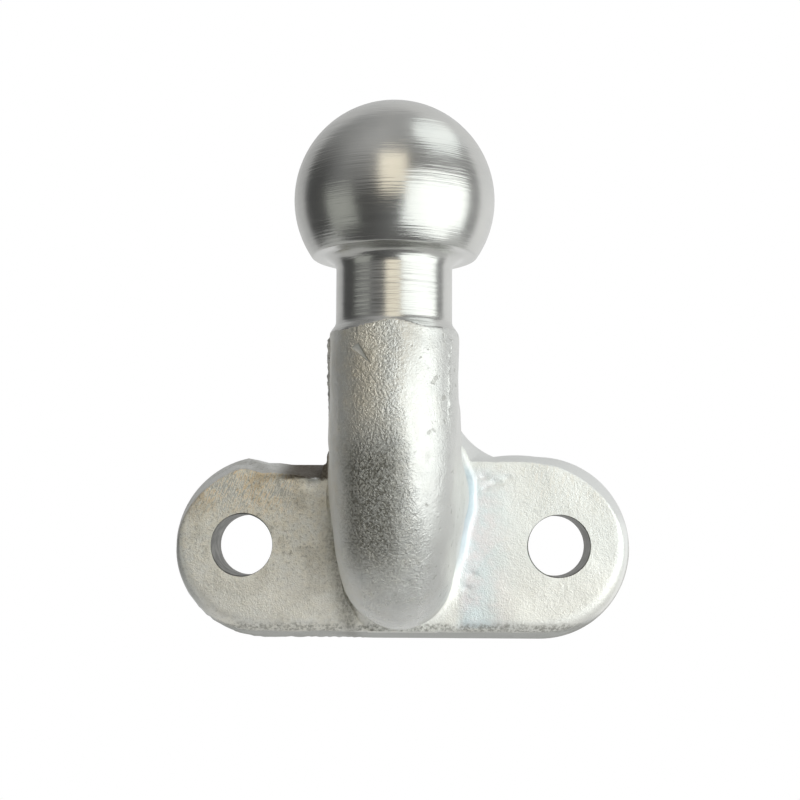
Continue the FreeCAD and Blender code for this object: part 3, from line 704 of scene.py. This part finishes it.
class ForgedSkin:
    """Noises and zones of the forged skin, each from 0 to 1 but for the mottle, which is
    centred on 0, and what follows from them: the height of its grain, the colour of its
    zinc, where dark scale and painted shade lie on it and how rough it is."""

    def __init__(self, tree):
        self.tree = tree
        here = place(tree)
        self.axes = split(tree, here)
        x, y, z = self.axes
        self.fine = grain(tree, here, 0.4, 2, 0.65)
        self.sand = grain(tree, here, 0.66, 3, 0.6)
        self.lumps = grain(tree, here, 0.9, 3, 0.65)
        self.spots = grain(tree, here, 2.6, 3, 0.65)
        self.clouds = grain(tree, here, 9, 4, 0.6)
        self.mottle = self.spots - 0.5

        self.machined = y.rise(-0.3, -0.1)
        self.on_arm = y.rise(-19, -23)
        self.off_arm = 1 - self.on_arm
        self.upper = z.rise(4, 17) * y.rise(-16.8, -17.4) * self.off_arm
        self.low = z.rise(4, -16) * self.off_arm
        self.rubbed = strokes(tree, x, z, 22, 2.4, 0.35) * 0.6 + self.clouds * 0.4

        front = y.rise(BALL_Y + 8, BALL_Y - 6).most(z.rise(PIVOT_Z - 24, PIVOT_Z - 44))
        front = front * self.on_arm
        self.scrape = scraped(x, z) * front
        border = x - 2.5 * z.rise(40, 12) - 4 * z.rise(14, -2) + 4 * self.mottle
        self.smooth = border.rise(-1.5, 5) * self.on_arm
        sandy = (x + 4 * self.mottle).rise(-14, -7) * border.rise(5, -1.5)
        self.sandy = sandy * front * (1 - self.scrape)
        # Painted shade: the hollow is the lower middle of the arm's front, facing forward and
        # down, painted dark as shade
        self.hollow = z.rise(34, 18) * z.rise(-12, 2) * x.rise(-14, -9) * x.rise(5, -2) * front
        self.pits = grain(tree, here, 2.2, 1).rise(0.68, 0.75) * self.smooth
        trimmed = x.rise(-38, -30) * x.rise(-20, -21) * (z + 3 * self.mottle).rise(18.2, 19.4)
        self.trimmed = trimmed * self.off_arm * (1 - self.machined)

    def height(self):
        """Height of the grain in millimetres: fine grain, lumps and spots all over, coarse
        sand down the arm's front and pits on its smooth side. The scrape flattens it, and
        the machined back has little of it."""
        z = self.axes[2]
        coarse = self.sand * self.sandy * (0.62 + 0.33 * z.rise(36, 18))
        height = self.fine * (0.10 + 0.15 * self.sandy) + coarse
        height = height + self.lumps * 0.10 - self.pits * 0.06
        height = height * (1 - 0.7 * self.scrape)
        height = height - self.smooth * self.lumps * 0.03 + self.spots * 0.12
        return height * (1 - 0.9 * self.machined)

    def film(self):
        """Colour of the flange's zinc: warm to the left and cool to the right, creamy lower
        down, with gold and pale strokes on the upper lobes, a painted blue and pink reflection
        tint beside the arm's right root and painted shade on the fillet there."""
        x, y, z = self.axes
        warmth = x.rise(25, -30) * 0.5 + (self.clouds - 0.5) * 0.9 + self.mottle * 0.9
        film = warmth.rise(0.0, 1.0).blend(COOL_FILM, WARM_FILM)
        film = (0.6 * self.low).blend(film, CREAM_FILM)
        gold = self.rubbed.rise(0.48, 0.56) * x.rise(-26, -36) * self.upper
        film = (0.8 * gold).blend(film, GOLD_STROKE)
        pale = strokes(self.tree, x, z, 4, 4, 0.4).rise(0.48, 0.68) * x.rise(30, 42)
        film = (0.6 * pale * self.upper).blend(film, PALE_STROKE)
        # Painted reflection: a blue and pink tint beside the arm's right root, where the window
        # lamp reflects
        painted_sheen = x.rise(15, 19) * x.rise(36, 20) * y.rise(-24, -20) * y.rise(-16.5, -17.5)
        painted_sheen = painted_sheen * z.rise(24, 19)
        tint = self.clouds.rise(0.35, 0.65).blend(BLUE_PAINTED_SHEEN, PINK_PAINTED_SHEEN)
        film = (0.8 * painted_sheen).blend(film, tint)
        # Painted shade: darkens the right root fillet, which faces the window lamp
        return (0.75 * painted_sheen * y.rise(-18.1, -18.8)).blend(film, SHEEN_SHADE)

    def zinc(self):
        """Colour of the zinc all over: the film, greyer on the arm with a painted warm
        reflection of gold on the upper sand, darker on the flange's wall, on its lower side and
        on the arm's smooth side, and one plain grey on the machined back."""
        x, y, z = self.axes
        # Painted reflection: gold on the upper sand of the arm's front, where it faces the warm
        # panel
        warm_reflection = self.sandy * z.rise(20, 36) * x.rise(1, -6)
        grey = (0.8 * warm_reflection).blend(ARM_GREY, ARM_WARM_REFLECTION)
        colour = (0.55 * self.on_arm).blend(self.film(), grey)
        wall = y.rise(-17.7, -17.1) * z.rise(4, 10).most(x.rise(-50, -60))
        colour = (0.8 * wall).blend(colour, x.rise(-20, 20).blend(LEFT_WALL, RIGHT_WALL))
        under = y.rise(-16.5, -14) * z.rise(-18, -23)
        colour = (0.85 * under).blend(colour, LOWER_WALL)
        greyed = self.smooth * (0.25 + 0.2 * z.rise(34, 14))
        colour = greyed.blend(colour, SMOOTH_GREY)
        return self.machined.blend(colour, MACHINED_ZINC)

    def scale(self):
        """Share of dark colour: painted shade in the arm's hollow, painted shade with dark zinc
        speckle beside its left root, and dark scale on the trimmed edge, the lower rim and the
        ends' back edges, in pits, between rubbed strokes and in patches on the left lobe; none
        on the machined back."""
        x, y, z = self.axes
        speckle = self.lumps.rise(0.38, 0.66)
        # Painted shade with dark zinc speckle: a dark band beside the arm's left root, darker
        # low down, where the arm's flank shades the face
        beside = (x + 0.23 * z).rise(-24.5, -19) * x.rise(-10, -14) * y.rise(-21, -18.5)
        beside = beside * (0.3 + 0.7 * z.rise(14, -4))
        low_rim = (z + 1.6 * self.mottle).rise(-21.2, -22.6) * z.rise(-24.8, -23.8)
        cut_edge = y.rise(-8, -3) * z.rise(12, -2) * x.math("ABSOLUTE").rise(36, 52)
        worn = self.rubbed.rise(0.49, 0.42) * x.rise(-24, -34) * self.upper
        patches = self.clouds.rise(0.50, 0.60) * 0.25 + self.lumps.rise(0.52, 0.66) * 0.4
        patches = patches + self.fine.rise(0.57, 0.70) * 0.3
        # Painted shade in the arm's hollow, broken by the sand's grains
        scale = self.hollow * (0.6 + 0.4 * self.sand.rise(0.55, 0.42))
        scale = scale + beside * (0.4 + 0.4 * speckle)
        scale = scale.most(self.trimmed * (0.7 + 0.3 * speckle))
        scale = scale.most(low_rim * self.off_arm * (0.1 + 0.65 * speckle))
        scale = scale.most(cut_edge * (0.3 + 0.4 * speckle))
        scale = scale.most(self.pits * 0.35).most(worn * 0.45)
        scale = scale.most(patches * x.rise(10, -20) * self.off_arm * (1 - 0.5 * self.low))
        return scale * (1 - self.machined)

    def roughness(self):
        """Roughness: even, a little less on the arm's smooth side and least on the sand,
        whose grains glint."""
        rough = 0.50 + 0.12 * self.mottle - 0.09 * self.smooth
        return rough - 0.19 * self.sandy - 0.05 * self.sandy * self.axes[2].rise(36, 18)


def forged_zinc():
    """Matt zinc on the forged skin: sandy down the arm's front, smoother to its right, fine
    grained elsewhere, under dark scale and painted shade in places and matt on the trimmed
    edge. The painted shade in the arm's hollow takes the thin scale's colour and keeps the
    gloss of metal."""
    material, tree = new_material("forged zinc")
    skin = ForgedSkin(tree)
    scale = skin.scale()
    dark = skin.trimmed.blend(THIN_SCALE_AND_PAINTED_SHADE, THICK_SCALE)
    # Painted shade in the arm's hollow stays mostly metal
    bare = 1 - 0.6 * scale * (1 - 0.85 * skin.hollow)
    metal(tree, scale.blend(skin.zinc(), dark), skin.roughness(), skin.height(), bare,
          0.65 * skin.trimmed)
    return material


def turned_zinc():
    """Bright turned zinc: fine level lines that the tool left round the ball and neck."""
    material, tree = new_material("turned zinc")
    lines = grain(tree, place(tree, (0.03, 0.03, 1)), 0.45, 2, 0.6)
    bands = grain(tree, place(tree, (0.01, 0.01, 1)), 1.4)
    clouds = grain(tree, place(tree), 7, 3)
    colour = clouds.rise(0.3, 0.7).blend(TURNED_LIGHT, TURNED_DARK)
    metal(tree, colour, 0.18 + 0.12 * bands, lines * 0.07 + bands * 0.08)
    return material


def drilled_zinc():
    """Dull zinc on the wall of a drilled hole, with rings from the drill."""
    material, tree = new_material("drilled zinc")
    rings = grain(tree, place(tree, (0.05, 1, 0.05)), 0.5, 3)
    clouds = grain(tree, place(tree), 3, 3)
    colour = clouds.rise(0.3, 0.7).blend(DRILLED_LIGHT, DRILLED_DARK)
    metal(tree, colour, 0.42 + 0.12 * clouds, rings * 0.03)
    return material


def softbox(name, azimuth, elevation, width, height, colour, shape="RECTANGLE"):
    """Area lamp that faces the ball, seen from it at an azimuth from the front towards the
    right, of an angular width and height. A rectangle shows its colour as it is; an ellipse
    has the same power on less area and shows it brighter by 4 / pi."""
    azimuth, elevation = math.radians(azimuth), math.radians(elevation)
    way = Vector((math.sin(azimuth) * math.cos(elevation),
                  -math.cos(azimuth) * math.cos(elevation), math.sin(elevation)))
    lamp = bpy.data.lights.new(name, "AREA")
    lamp.shape = shape
    lamp.size = 2 * LAMP_DISTANCE * math.tan(math.radians(width / 2))
    lamp.size_y = 2 * LAMP_DISTANCE * math.tan(math.radians(height / 2))
    lamp.color = colour
    lamp.energy = math.pi * lamp.size * lamp.size_y
    box = link(name, lamp)
    box.location = Vector((0, BALL_Y * MM, BALL_Z * MM)) + LAMP_DISTANCE * way
    box.rotation_euler = way.to_track_quat("Z", "Y").to_euler()
    box.visible_camera = False


def studio_world():
    """White backdrop behind the piece and all round the camera's view. The piece and the
    floor receive a pale board from behind and a dim grey room from elsewhere, lighter
    above, to the right and in a patch at the front left."""
    world = bpy.data.worlds.new("studio")
    world.use_nodes = True
    tree = world.node_tree
    tree.nodes.clear()
    x, y, z = split(tree, Wire.add(tree, "ShaderNodeTexCoord", output="Generated"))
    behind = (y + 0.05 * x + 0.15 * z).rise(0.40, 0.54)
    board = 0.78 + 0.24 * x - 0.10 * z.rise(0.1, 0.5)
    dim = 0.082 + 0.30 * z.rise(0.35, 1.0) + 0.15 * x.rise(0.3, 0.9) + 0.07 * x.rise(-0.5, 0)
    dim = dim + 0.16 * z.rise(0.03, 0.2) * x.rise(0.1, -0.3) * y.rise(0.0, -0.5)
    room = (dim + behind * (board - dim)).blend(BLACK, WHITE)
    camera_ray = Wire.add(tree, "ShaderNodeLightPath", output="Is Camera Ray")
    glossy, through = camera_ray.beside("Is Glossy Ray", "Is Transmission Ray")
    backdrop = camera_ray.most(y.rise(0.97, 0.995) * glossy.most(through))
    surface = Wire.add(tree, "ShaderNodeBackground", inputs={
        "Color": backdrop.blend(room, WHITE), "Strength": 1.0})
    Wire.add(tree, "ShaderNodeOutputWorld", inputs={"Surface": surface})
    return world


def pale_floor():
    """Flat pale floor under the piece, short enough to stay below the picture."""
    corners = [(-FLOOR_X, FLOOR_FRONT, FLOOR_Z), (FLOOR_X, FLOOR_FRONT, FLOOR_Z),
               (FLOOR_X, FLOOR_BACK, FLOOR_Z), (-FLOOR_X, FLOOR_BACK, FLOOR_Z)]
    mesh = bpy.data.meshes.new("floor")
    mesh.from_pydata(corners, [], [(0, 1, 2, 3)])
    material, tree = new_material("pale floor")
    surface = Wire.add(tree, "ShaderNodeBsdfDiffuse", inputs={"Color": FLOOR})
    Wire.add(tree, "ShaderNodeOutputMaterial", inputs={"Surface": surface})
    mesh.materials.append(material)
    return link("floor", mesh)


# The forging: ball, arm and flange as one grid of rings
ball = ball_rows()
arm, arm_turned = turn_neck(trim_flash(forge(arm_rows())))
flange = flange_rows(arm[-1])
surface = np.concatenate([ball, arm, flange])
turned = np.concatenate([np.ones(ball.shape[:2]), arm_turned, np.zeros(flange.shape[:2])])
forging = grid_mesh("tow_ball_forging", surface, (0, BALL_Y, HIGH[2]), (0, 0, ROOT_MIDDLE),
                    turned)
forging.data.materials.append(forged_zinc())
forging.data.materials.append(turned_zinc())
drill(forging, drilled_zinc())
forging.data.shade_smooth()
forging.data.set_sharp_from_angle(angle=math.radians(35))

# Camera, fitted to the forging's outline and bolt holes, and light
camera = link("camera", bpy.data.cameras.new("camera"))
camera.location = (0.0119, -0.4012, 0.0028)
camera.rotation_euler = (math.radians(95.75), math.radians(-0.23), math.radians(1.77))
camera.data.lens = 60.57
bpy.context.scene.camera = camera
bpy.context.scene.view_settings.view_transform = "Standard"
bpy.context.scene.world = studio_world()
softbox("window", 54, -12, 79, 66, (1.47, 1.52, 1.49))
softbox("upper window", 84, 57, 46, 38, (0.69, 0.73, 0.72), "ELLIPSE")
softbox("warm panel", 0, 21, 29, 44, (1.05, 0.95, 0.76))
softbox("left fill", -63, -13, 36, 38, (0.37, 0.38, 0.35))
pale_floor()

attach(forging, "root")
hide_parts("tow_ball")
